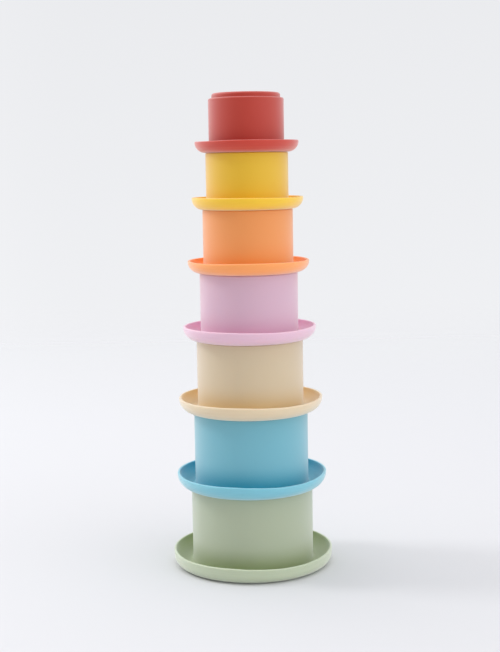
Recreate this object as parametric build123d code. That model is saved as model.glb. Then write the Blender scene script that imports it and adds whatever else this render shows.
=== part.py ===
from build123d import *
from dataclasses import dataclass
import os

# A tower of seven round stacking cups. Each cup stands upside down: a straight round body, closed end
# up and mouth down, with a brim round the mouth like a shallow dish, turned up at its edge. The closed
# end carries a low round boss, which drops into the mouth of the next cup up and centres it.
# Millimetres, +Z up. The origin is the centre of the face that the tower stands on.


@dataclass
class Cup:
    """The sizes that differ from cup to cup."""
    colour: str
    step_in: float          # how much narrower the body is than the body below it
    body_height: float      # from the mouth face to the shoulder at the closed end
    brim_reach: float       # from the side of the body out to the brim's edge
    brim_height: float      # from the mouth face to the turned-up edge


LARGEST_BODY_DIAMETER = 76.0
CUPS = [
    Cup("green", 0, 49.5, 12.0, 10.0),
    Cup("blue", 5.0, 48.0, 11.25, 9.5),
    Cup("sand", 5.0, 45.0, 11.75, 9.0),
    Cup("lilac", 5.5, 41.5, 11.0, 8.5),
    Cup("orange", 5.0, 38.5, 9.75, 7.5),
    Cup("yellow", 5.0, 34.5, 9.0, 7.5),
    Cup("coral", 4.5, 32.5, 8.75, 7.0),
]

# The moulded wall, the same on every cup.
BODY_WALL = 1.8
BRIM_WALL = 1.6
SHOULDER_RADIUS = 1.0

# The dish of the brim: how far its wall leans out, then its curves. The heel is the outer curve, from
# the mouth face up to the edge, the dish's own curve follows inside it, and the root joins the body.
BRIM_LEAN = 0.4
HEEL_SHARE_OF_HEIGHT = 0.9
MOST_HEEL_SHARE_OF_RING = 0.9
MOST_DISH_SHARE_OF_FLOOR = 0.8
ROOT_SHARE_OF_REST = 0.85

# The boss on the closed end, and the play that it has in the mouth above it.
BOSS_HEIGHT = 3.1
BOSS_EDGE_RADIUS = 1.5
BOSS_SIDE_CLEARANCE = 0.3

SHARP = 0       # the rounding of a corner that is left as it is


def body_radius(index):
    """Radius of a cup's body, stepped in once for every cup up to it."""
    steps_in = sum(cup.step_in for cup in CUPS[:index + 1])
    return (LARGEST_BODY_DIAMETER - steps_in) / 2


def mouth_radius(index):
    return body_radius(index) - BODY_WALL


def boss_radius(index):
    """Radius of a cup's boss, made to fit the mouth above. The top cup repeats the smallest mouth."""
    index_above = min(index + 1, len(CUPS) - 1)
    return mouth_radius(index_above) - BOSS_SIDE_CLEARANCE


def cup_section(index):
    """Half section of a cup in the XZ plane, with its mouth face on Z = 0."""
    cup = CUPS[index]
    body = body_radius(index)
    bore = mouth_radius(index)
    boss = boss_radius(index)
    core = boss - BODY_WALL
    end = cup.body_height + BOSS_HEIGHT

    edge = body + cup.brim_reach
    heel = edge - BRIM_LEAN
    heel_radius = min(HEEL_SHARE_OF_HEIGHT * cup.brim_height, MOST_HEEL_SHARE_OF_RING * (heel - bore))
    dish = edge - BRIM_WALL - BRIM_LEAN * (cup.brim_height - BRIM_WALL) / cup.brim_height
    floor = dish - body
    dish_radius = min(heel_radius - BRIM_WALL, MOST_DISH_SHARE_OF_FLOOR * floor)
    root_radius = ROOT_SHARE_OF_REST * (floor - dish_radius)

    # Radius, height and rounding of each corner: down the outside, round the brim and up the inside.
    corners = [
        (0, end, SHARP),
        (boss, end, BOSS_EDGE_RADIUS),
        (boss, cup.body_height, SHARP),
        (body, cup.body_height, SHOULDER_RADIUS),
        (body, BRIM_WALL, root_radius),
        (dish, BRIM_WALL, dish_radius),
        (edge - BRIM_WALL, cup.brim_height, SHARP),
        (edge, cup.brim_height, SHARP),
        (heel, 0, heel_radius),
        (bore, 0, SHARP),
        (bore, cup.body_height - BODY_WALL, SHARP),
        (core, cup.body_height - BODY_WALL, SHARP),
        (core, end - BODY_WALL, SHARP),
        (0, end - BODY_WALL, SHARP),
    ]
    points = [(radius, 0, height) for radius, height, rounding in corners]
    roundings = [rounding for radius, height, rounding in corners]
    return make_face(FilletPolyline(*points, radius=roundings, close=True))


def make_cup(index, base_height):
    """One cup, turned about the tower's axis, with its mouth face at the given height."""
    return Pos(0, 0, base_height) * revolve(cup_section(index), axis=Axis.Z)


os.makedirs("parts", exist_ok=True)
base_height = 0
for index, cup in enumerate(CUPS):
    export_step(make_cup(index, base_height), f"parts/{cup.colour}_cup.step")
    base_height += cup.body_height
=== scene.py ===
"""Seven soft silicone stacking cups, stood mouth down in a tower on a pale studio floor.

Metres, +Z up, with the CAD model's origin: the centre of the face that the tower stands on. Every cup is
modelled again here at the size and place of its CAD node, with finer roundings and the slight sag that
a thin silicone brim has.
"""
import math

import bmesh
import bpy
from mathutils import Matrix, Vector


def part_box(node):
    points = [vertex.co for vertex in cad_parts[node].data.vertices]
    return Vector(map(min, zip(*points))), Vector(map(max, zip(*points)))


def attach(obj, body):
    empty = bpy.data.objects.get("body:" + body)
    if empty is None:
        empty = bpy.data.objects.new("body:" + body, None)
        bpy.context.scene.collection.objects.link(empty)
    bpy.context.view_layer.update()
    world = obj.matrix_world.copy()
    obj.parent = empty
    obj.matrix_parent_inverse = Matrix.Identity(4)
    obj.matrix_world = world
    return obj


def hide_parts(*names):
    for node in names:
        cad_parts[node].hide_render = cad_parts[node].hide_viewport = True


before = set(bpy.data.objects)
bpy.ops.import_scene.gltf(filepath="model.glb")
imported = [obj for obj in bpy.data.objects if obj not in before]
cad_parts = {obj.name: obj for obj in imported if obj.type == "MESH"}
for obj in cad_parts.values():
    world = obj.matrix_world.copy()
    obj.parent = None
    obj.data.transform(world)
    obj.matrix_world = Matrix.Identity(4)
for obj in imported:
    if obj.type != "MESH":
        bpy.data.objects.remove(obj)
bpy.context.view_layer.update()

MM = 0.001

# --- Sizes of the moulded section that a node's outside doesn't tell -------------------------------------
BODY_WALL = 1.8 * MM
BRIM_WALL = 1.6 * MM
BRIM_LEAN = 0.4 * MM
BOSS_HEIGHT = 3.1 * MM
HEEL_SHARE_OF_HEIGHT = 0.9
HEEL_SHARES = {"green_cup": 0.6}        # the largest cup stands squarer on the floor
MOST_DISH_SHARE_OF_FLOOR = 0.8
ROOT_SHARE_OF_REST = 0.85

# --- The fine roundings that the mould gives every edge --------------------------------------------------
SHOULDER_RADIUS = 1.0 * MM
BOSS_EDGE_RADIUS = 1.5 * MM
BOSS_ROOT_RADIUS = 0.4 * MM
LIP_RADIUS = 0.7 * MM
MOUTH_EDGE_RADIUS = 1.2 * MM
INSIDE_CORNER_RADIUS = 1.2 * MM

SEAT_PLAY = 0.01 * MM           # keeps a mouth face just clear of the shoulder that it rests on
SIDES = 192
ARC_STEP = math.radians(8)      # the turn between two edges of a rounding
SAG_SPREADS = (34, 22, 10)      # degrees to each side of a sag's middle, one for each step of its drop
BRIM_EDGE = 6                   # the places of the brim's edge and of the heel in a cup's list of corners
HEEL = 7

# --- The cups, from the bottom of the tower: colour, then where the brim sags and how far ----------------
# A sag is its direction in degrees, turned from the right towards the viewer, and its drop in mm.
CUPS = {
    "green": [(60, 0.9), (147, 0.5)],
    "blue": [(58, 1.0), (142, 0.5)],
    "sand": [(52, 0.7), (150, 0.3)],
    "lilac": [(60, 0.5), (200, 0.3)],
    "orange": [(140, 0.4), (20, 0.3)],
    "yellow": [(45, 0.3)],
    "coral": [(150, 0.3)],
}

# Silicone pigments as sRGB colours: on open faces, and deeper for the painted shade in the dish's corners.
PIGMENTS_AND_CORNER_SHADE = {
    "green": ("#B2BCA1", "#94A270"),
    "blue": ("#76B9C9", "#009DB8"),
    "sand": ("#D7C4A4", "#DABC84"),
    "lilac": ("#DAB5C7", "#DBABC3"),
    "orange": ("#F59D56", "#EE9C40"),
    "yellow": ("#EBBD28", "#EEC000"),
    "coral": ("#BE3826", "#B82E1A"),
}

# --- The finish of the silicone --------------------------------------------------------------------------
CORNER_SHADE_REACH = 16 * MM         # painted shade: how far off a wall can be and still shut out some of the sky
DRIFT_SIZE = 35 * MM            # the size of the patches in which the pigment's strength drifts
DRIFT = 0.015
GLOW_START = 6 * MM             # how far in from the brim's edge the painted glow and the lathe rings start
GLOW_FULL = 1 * MM
# How much brighter the brim's edge is painted than the body: painted glow.
PAINTED_EDGE_GLOW = 1.2
TURNING_STEP = 1.6 * MM
TURNING_DEPTH = 0.06 * MM
GRAIN_SIZE = 0.5 * MM
GRAIN_DEPTH = 0.05 * MM
RUB_SIZE = 9 * MM
DUST_TINT = 0.3                 # how far the powdery dust takes on the colour under it
SCATTER_DEPTH = 2.0 * MM

# --- The studio: its floor, its room and the camera ------------------------------------------------------
FLOOR_RADIUS = 1.8
FLOOR_SIDES = 96
FLOOR_PAINT = "#D8D8DA"
FADE_START = 0.2                # how far behind the tower the floor starts to fade, and is gone
FADE_END = 1.5

# The strength of the room's light. The first two go by the cosine of the angle from the dim side, where
# the viewer stands, and the last by the height of the direction.
PAPER_COLOUR = "#FBFCFF"
DIM_SIDE = (-0.68, -1.0, 0)
PAPER_TO_WALLS = {"From_Min": -0.75, "From_Max": -0.2, "To_Min": 0.9, "To_Max": 1.6}
WALLS_TO_DIM_SIDE = {"From_Min": 0.1, "From_Max": 1.0, "To_Min": 1.0, "To_Max": 0.25}
LOW_TO_HIGH = {"From_Min": -0.13, "From_Max": 0.13, "To_Min": 1.0, "To_Max": 0.955}

SOFTBOX_PLACE = (-1.24, 0.24, 1.2)
SOFTBOX_AIM = (0, 0, 0.15)
SOFTBOX_SIZE = 0.35
SOFTBOX_WATTS = 6.5

CAMERA_PLACE = (0.3 * MM, -770 * MM, 248.7 * MM)
CAMERA_TIP = 7.3                # degrees below level
CAMERA_ROLL = -0.95             # degrees
CAMERA_LENS = 69.0              # millimetres, as is the sensor
CAMERA_SENSOR = 36.0

SMOOTHSTEP = {"interpolation_type": "SMOOTHSTEP"}
WAVE_PERIOD = math.tau / 20     # the period of Blender's wave texture at a scale of one


# --- Small helpers ---------------------------------------------------------------------------------------
def linear(hex_colour):
    """A linear RGBA colour from an sRGB hex value."""
    channels = [int(hex_colour[i:i + 2], 16) / 255 for i in (1, 3, 5)]
    return [c / 12.92 if c <= 0.04045 else ((c + 0.055) / 1.055) ** 2.4 for c in channels] + [1.0]


def node(tree, kind, settings=None, in_order=(), **inputs):
    """Adds a shader node, sets its properties and its inputs, and links the inputs that are sockets.

    Inputs go by name, or in order on a kind of node that has several of one name.
    """
    made = tree.nodes.new(kind)
    for name, value in (settings or {}).items():
        setattr(made, name, value)
    given = list(zip(made.inputs, in_order))
    given += [(made.inputs[name.replace("_", " ")], value) for name, value in inputs.items()]
    for socket, value in given:
        if isinstance(value, bpy.types.NodeSocket):
            tree.links.new(value, socket)
        else:
            socket.default_value = value
    return made


def new_material(name):
    material = bpy.data.materials.new(name)
    material.use_nodes = True
    material.node_tree.nodes.clear()
    return material, material.node_tree


# --- Materials -------------------------------------------------------------------------------------------
def nearness_to_edge(tree, place, edge):
    """How near a place is to the free edge of the brim, from 0 on the body to 1 at the edge."""
    across = node(tree, "ShaderNodeVectorMath", {"operation": "MULTIPLY"}, [place, (1, 1, 0)])
    radius = node(tree, "ShaderNodeVectorMath", {"operation": "LENGTH"}, [across.outputs["Vector"]])
    near = node(
        tree, "ShaderNodeMapRange", SMOOTHSTEP,
        Value=radius.outputs["Value"], From_Min=edge - GLOW_START, From_Max=edge - GLOW_FULL,
    )
    return near.outputs["Result"]


def pigment_with_painted_light(tree, place, near_edge, open_colour, corner_shade_colour):
    """The silicone's colour, with painted shade in the dish's corners and painted glow at the brim's edge."""
    # Painted shade: where nearby walls of the same cup shut off part of the sky, the colour is painted
    # deeper.
    corner_occlusion = node(
        tree, "ShaderNodeAmbientOcclusion", {"only_local": True, "samples": 8}, Distance=CORNER_SHADE_REACH,
    )
    openness = node(tree, "ShaderNodeMapRange", Value=corner_occlusion.outputs["AO"], From_Min=0.25, From_Max=0.95)
    blend = node(
        tree, "ShaderNodeMixRGB",
        Fac=openness.outputs["Result"], Color1=corner_shade_colour, Color2=open_colour,
    )

    # Pigment is milled into the gum by hand, so its strength drifts by about one percent over a few cm.
    drift = node(tree, "ShaderNodeTexNoise", Vector=place, Scale=1 / DRIFT_SIZE, Detail=2.0)
    paler = node(
        tree, "ShaderNodeMapRange", Value=drift.outputs["Fac"], To_Min=1 - DRIFT, To_Max=1 + DRIFT,
    )

    # Painted glow: the brim's thin free edge is lit on both faces, so its colour is painted a fifth brighter.
    painted_glow = node(tree, "ShaderNodeMapRange", Value=near_edge, To_Min=1.0, To_Max=PAINTED_EDGE_GLOW)
    value = node(
        tree, "ShaderNodeMath", {"operation": "MULTIPLY"}, [paler.outputs["Result"], painted_glow.outputs["Result"]],
    )
    tint = node(tree, "ShaderNodeHueSaturation", Color=blend.outputs["Color"], Value=value.outputs["Value"])
    return tint.outputs["Color"]


def mould_marks(tree, place, near_edge):
    """The relief that the mould leaves: the rings of the lathe on the brim, and etched grain all over."""
    # The brim's part of the mould is turned on a lathe, which leaves faint rings about 1.6 mm apart.
    turning = node(
        tree, "ShaderNodeTexWave", {"bands_direction": "Z"},
        Vector=place, Scale=WAVE_PERIOD / TURNING_STEP, Distortion=1.5, Detail=2.0, Detail_Scale=0.3,
    )
    rings = node(tree, "ShaderNodeMath", {"operation": "MULTIPLY"}, [turning.outputs["Fac"], near_edge])
    ringed = node(tree, "ShaderNodeBump", Height=rings.outputs["Value"], Strength=0.6, Distance=TURNING_DEPTH)

    # The grain of an etched mould is near 0.1 mm, too fine to show here, so it is drawn at 0.5 mm.
    grain = node(tree, "ShaderNodeTexNoise", Vector=place, Scale=1 / GRAIN_SIZE, Detail=3.0, Roughness=0.6)
    relief = node(
        tree, "ShaderNodeBump",
        Height=grain.outputs["Fac"], Normal=ringed.outputs["Normal"], Strength=0.12, Distance=GRAIN_DEPTH,
    )
    return relief.outputs["Normal"]


def silicone(colour, edge):
    """Food-grade silicone rubber, compression moulded in an etched steel mould.

    The etching leaves a fine, even grain that scatters the light: a broad, dull gloss and a powdery paleness
    at grazing angles. The corners of the dish, where the walls shade one another, are painted a deeper
    colour: painted shade. The rubber lets a little light in, and the brim's thin edge is painted brighter
    as well: a painted glow.
    """
    material, tree = new_material(f"matt_moulded_silicone_{colour}")
    place = node(tree, "ShaderNodeTexCoord").outputs["Object"]
    near_edge = nearness_to_edge(tree, place, edge)
    # The second colour is painted shade for the dish's corners, where the walls shade one another.
    open_colour, corner_shade_colour = (linear(pigment) for pigment in PIGMENTS_AND_CORNER_SHADE[colour])

    # Handling polishes and dusts the surface in patches a few millimetres across.
    rub = node(tree, "ShaderNodeTexNoise", Vector=place, Scale=1 / RUB_SIZE, Detail=4.0)
    dullness = node(tree, "ShaderNodeMapRange", Value=rub.outputs["Fac"], To_Min=0.5, To_Max=0.6)

    surface = node(
        tree, "ShaderNodeBsdfPrincipled",
        Base_Color=pigment_with_painted_light(tree, place, near_edge, open_colour, corner_shade_colour),
        Roughness=dullness.outputs["Result"], Normal=mould_marks(tree, place, near_edge), IOR=1.41,
        Subsurface_Weight=0.15, Subsurface_Scale=SCATTER_DEPTH, Subsurface_Radius=(1.0, 0.7, 0.5),
        Sheen_Weight=1.0, Sheen_Roughness=0.5,
        Sheen_Tint=[1 - DUST_TINT * (1 - channel) for channel in open_colour],
    )
    node(tree, "ShaderNodeOutputMaterial", Surface=surface.outputs["BSDF"])
    return material


def studio_paint():
    """Matt white paint on the studio floor, which fades into the light backdrop behind the tower."""
    material, tree = new_material("matt_white_floor_paint")
    place = node(tree, "ShaderNodeTexCoord").outputs["Object"]
    behind = node(tree, "ShaderNodeSeparateXYZ", Vector=place).outputs["Y"]
    fade = node(
        tree, "ShaderNodeMapRange", SMOOTHSTEP, Value=behind, From_Min=FADE_START, From_Max=FADE_END,
    )
    paint = node(
        tree, "ShaderNodeBsdfPrincipled", Base_Color=linear(FLOOR_PAINT), Roughness=0.9, IOR=1.45,
    )
    clear = node(tree, "ShaderNodeBsdfTransparent")
    surface = node(
        tree, "ShaderNodeMixShader",
        in_order=[fade.outputs["Result"], paint.outputs["BSDF"], clear.outputs["BSDF"]],
    )
    node(tree, "ShaderNodeOutputMaterial", Surface=surface.outputs["Shader"])
    return material


# --- Modelling by hand-tool operators --------------------------------------------------------------------
def pick(wanted):
    """Selects just the vertices of the piece in edit mode whose place is wanted."""
    mesh = bmesh.from_edit_mesh(bpy.context.object.data)
    for vertex in mesh.verts:
        vertex.select = not vertex.hide and wanted(vertex.co)
    mesh.select_flush_mode()
    bmesh.update_edit_mesh(bpy.context.object.data)


def pick_ring(radius, height):
    near = 0.02 * MM
    bpy.ops.mesh.select_mode(type="VERT")
    pick(lambda at: abs(math.hypot(at.x, at.y) - radius) < near and abs(at.z - height) < near)
    bpy.ops.mesh.select_mode(type="EDGE")


def turned_piece(name, corners):
    """A closed round piece from the corners of its half section, given as radius, height and rounding.

    It starts as a disc on the axis. The disc's edge is drawn out from corner to corner, the last
    ring is closed with a face, and each corner ring is then rounded.
    """
    bpy.ops.object.select_all(action="DESELECT")
    radius, height = corners[0][:2]
    bpy.ops.mesh.primitive_circle_add(vertices=SIDES, radius=radius, fill_type="NGON", location=(0, 0, 0))
    piece = bpy.context.object
    piece.name = name
    bpy.ops.object.mode_set(mode="EDIT")
    bpy.ops.mesh.select_all(action="SELECT")
    bpy.ops.transform.translate(value=(0, 0, height))
    for corner in corners[1:]:
        next_radius, next_height = corner[:2]
        pick_ring(radius, height)
        bpy.ops.mesh.extrude_edges_move(TRANSFORM_OT_translate={"value": (0, 0, next_height - height)})
        scale = next_radius / radius
        bpy.ops.transform.resize(value=(scale, scale, 1), center_override=(0, 0, 0))
        radius, height = next_radius, next_height
    pick_ring(radius, height)
    bpy.ops.mesh.edge_face_add()
    for index in range(len(corners)):
        round_ring(corners, index)
    bpy.ops.mesh.select_all(action="SELECT")
    bpy.ops.mesh.normals_make_consistent(inside=False)
    bpy.ops.object.mode_set(mode="OBJECT")
    return piece


def round_ring(corners, index):
    """Rounds one corner ring of a turned piece to its radius."""
    radius, height, rounding = corners[index]
    before = corners[index - 1][:2] if index else (0, height)
    after = corners[index + 1][:2] if index + 1 < len(corners) else (0, height)
    here = Vector((radius, height))
    turn = (here - Vector(before)).angle(Vector(after) - here)
    pick_ring(radius, height)
    bpy.ops.mesh.bevel(
        offset_type="OFFSET", offset=rounding * math.tan(turn / 2), segments=round(turn / ARC_STEP),
        profile=0.5, affect="EDGES", clamp_overlap=False,
    )


def finish_piece(piece, material):
    """Smooth shading, flats kept flat, and the piece's one material."""
    bpy.ops.object.select_all(action="DESELECT")
    piece.select_set(True)
    bpy.context.view_layer.objects.active = piece
    bpy.ops.object.shade_smooth()
    flats = piece.modifiers.new("flats_stay_flat", "WEIGHTED_NORMAL")
    bpy.ops.object.modifier_apply(modifier=flats.name)
    piece.data.materials.clear()
    piece.data.materials.append(material)


# --- The cups --------------------------------------------------------------------------------------------
def outside_of(cad_node):
    """The radius and height of every vertex of a CAD node."""
    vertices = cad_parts[cad_node].data.vertices
    return [(math.hypot(vertex.co.x, vertex.co.y), vertex.co.z) for vertex in vertices]


def widest(outside, low, high):
    """The largest radius between two heights."""
    return max(radius for radius, height in outside if low <= height <= high)


def cup_corners(cad_node):
    """The section of a cup as corners of radius, height and rounding, read from its CAD node."""
    lowest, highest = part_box(cad_node)
    base, end = lowest.z + SEAT_PLAY, highest.z
    shoulder = end - BOSS_HEIGHT
    middle = (base + shoulder) / 2
    outside = outside_of(cad_node)
    body = widest(outside, middle, shoulder)
    boss = widest(outside, shoulder + BOSS_HEIGHT / 4, end)
    brim_top = max(height for radius, height in outside if radius > body + BRIM_WALL)
    brim_height = brim_top - base
    bore = body - BODY_WALL
    core = boss - BODY_WALL

    edge = widest(outside, base, brim_top)
    heel = edge - BRIM_LEAN
    heel_radius = HEEL_SHARES.get(cad_node, HEEL_SHARE_OF_HEIGHT) * brim_height
    dish = edge - BRIM_WALL - BRIM_LEAN * (brim_height - BRIM_WALL) / brim_height
    floor = dish - body
    dish_radius = min(HEEL_SHARE_OF_HEIGHT * brim_height - BRIM_WALL, MOST_DISH_SHARE_OF_FLOOR * floor)
    root_radius = ROOT_SHARE_OF_REST * (floor - dish_radius)
    return [
        (boss, end, BOSS_EDGE_RADIUS),
        (boss, shoulder, BOSS_ROOT_RADIUS),
        (body, shoulder, SHOULDER_RADIUS),
        (body, base + BRIM_WALL, root_radius),
        (dish, base + BRIM_WALL, dish_radius),
        (edge - BRIM_WALL, brim_top, LIP_RADIUS),
        (edge, brim_top, LIP_RADIUS),
        (heel, base, heel_radius),
        (bore, base, MOUTH_EDGE_RADIUS),
        (bore, shoulder - BODY_WALL, INSIDE_CORNER_RADIUS),
        (core, shoulder - BODY_WALL, BOSS_ROOT_RADIUS),
        (core, end - BODY_WALL, INSIDE_CORNER_RADIUS),
    ]


def sag_brim(corners, sags):
    """Lets the brim's edge dip by up to a millimetre in places, as thin silicone does."""
    edge, brim_top, rounding = corners[BRIM_EDGE]
    base = corners[HEEL][1]
    bpy.ops.object.mode_set(mode="EDIT")
    bpy.ops.mesh.select_mode(type="VERT")
    for degrees, drop in sags:
        towards = Vector((math.cos(math.radians(degrees)), -math.sin(math.radians(degrees))))
        for spread in SAG_SPREADS:
            reach = math.cos(math.radians(spread))
            pick(
                lambda at: at.z > brim_top - rounding - drop * MM and at.xy.length > edge - BRIM_WALL
                and at.xy.normalized().dot(towards) > reach
            )
            bpy.ops.transform.translate(
                value=(0, 0, -drop * MM / len(SAG_SPREADS)), use_proportional_edit=True,
                proportional_edit_falloff="SMOOTH", proportional_size=brim_top - base,
            )
    bpy.ops.object.mode_set(mode="OBJECT")


def make_cup(colour):
    cad_node = f"{colour}_cup"
    corners = cup_corners(cad_node)
    cup = turned_piece(f"{colour}_silicone_cup", corners)
    sag_brim(corners, CUPS[colour])
    finish_piece(cup, silicone(colour, edge=corners[BRIM_EDGE][0]))
    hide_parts(cad_node)
    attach(cup, cad_node)


# --- The studio ------------------------------------------------------------------------------------------
def make_floor():
    """A round white floor, wide enough for the whole shadow."""
    bpy.ops.object.select_all(action="DESELECT")
    bpy.ops.mesh.primitive_circle_add(
        vertices=FLOOR_SIDES, radius=FLOOR_RADIUS, fill_type="NGON", location=(0, 0, 0),
    )
    floor = bpy.context.object
    floor.name = "studio_floor"
    finish_piece(floor, studio_paint())


def light_room():
    """White paper behind, brighter white walls at the sides, and a dim room where the viewer stands."""
    world = bpy.data.worlds.new("white_paper_room")
    world.use_nodes = True
    tree = world.node_tree
    tree.nodes.clear()
    way = node(tree, "ShaderNodeTexCoord").outputs["Generated"]
    height = node(tree, "ShaderNodeSeparateXYZ", Vector=way).outputs["Z"]
    dim_side = Vector(DIM_SIDE).normalized()
    towards_dim_side = node(tree, "ShaderNodeVectorMath", {"operation": "DOT_PRODUCT"}, [way, dim_side])
    facing = towards_dim_side.outputs["Value"]

    walls = node(tree, "ShaderNodeMapRange", SMOOTHSTEP, Value=facing, **PAPER_TO_WALLS).outputs["Result"]
    dusk = node(tree, "ShaderNodeMapRange", SMOOTHSTEP, Value=facing, **WALLS_TO_DIM_SIDE).outputs["Result"]
    shade = node(tree, "ShaderNodeMapRange", Value=height, **LOW_TO_HIGH).outputs["Result"]
    lit = node(tree, "ShaderNodeMath", {"operation": "MULTIPLY"}, [walls, dusk]).outputs["Value"]
    strength = node(tree, "ShaderNodeMath", {"operation": "MULTIPLY"}, [lit, shade]).outputs["Value"]
    paper = node(tree, "ShaderNodeBackground", Color=linear(PAPER_COLOUR), Strength=strength)
    node(tree, "ShaderNodeOutputWorld", Surface=paper.outputs["Background"])
    bpy.context.scene.world = world


def hang_softbox():
    """A square softbox, high on the left and a little behind the tower, and itself out of the picture."""
    lamp = bpy.data.lights.new("key", "AREA")
    lamp.size = SOFTBOX_SIZE
    lamp.energy = SOFTBOX_WATTS
    stand = bpy.data.objects.new("key", lamp)
    bpy.context.scene.collection.objects.link(stand)
    away = (Vector(SOFTBOX_PLACE) - Vector(SOFTBOX_AIM)).normalized()
    turn = away.to_track_quat("Z", "Y").to_matrix().to_4x4()
    stand.matrix_world = Matrix.Translation(SOFTBOX_PLACE) @ turn
    stand.visible_camera = False


def place_camera():
    """A short telephoto a little above the tower's middle, tipped down, with a slight roll."""
    camera_data = bpy.data.cameras.new("camera")
    camera_data.sensor_width = CAMERA_SENSOR
    camera_data.lens = CAMERA_LENS
    camera_data.clip_start = 0.05
    camera_data.clip_end = 50.0
    camera = bpy.data.objects.new("camera", camera_data)
    bpy.context.scene.collection.objects.link(camera)
    tip = Matrix.Rotation(math.radians(90 - CAMERA_TIP), 4, "X")
    roll = Matrix.Rotation(math.radians(CAMERA_ROLL), 4, "Z")
    camera.matrix_world = Matrix.Translation(CAMERA_PLACE) @ tip @ roll
    bpy.context.scene.camera = camera


for colour in CUPS:
    make_cup(colour)
make_floor()
light_room()
hang_softbox()
place_camera()
bpy.context.scene.view_settings.view_transform = "Standard"
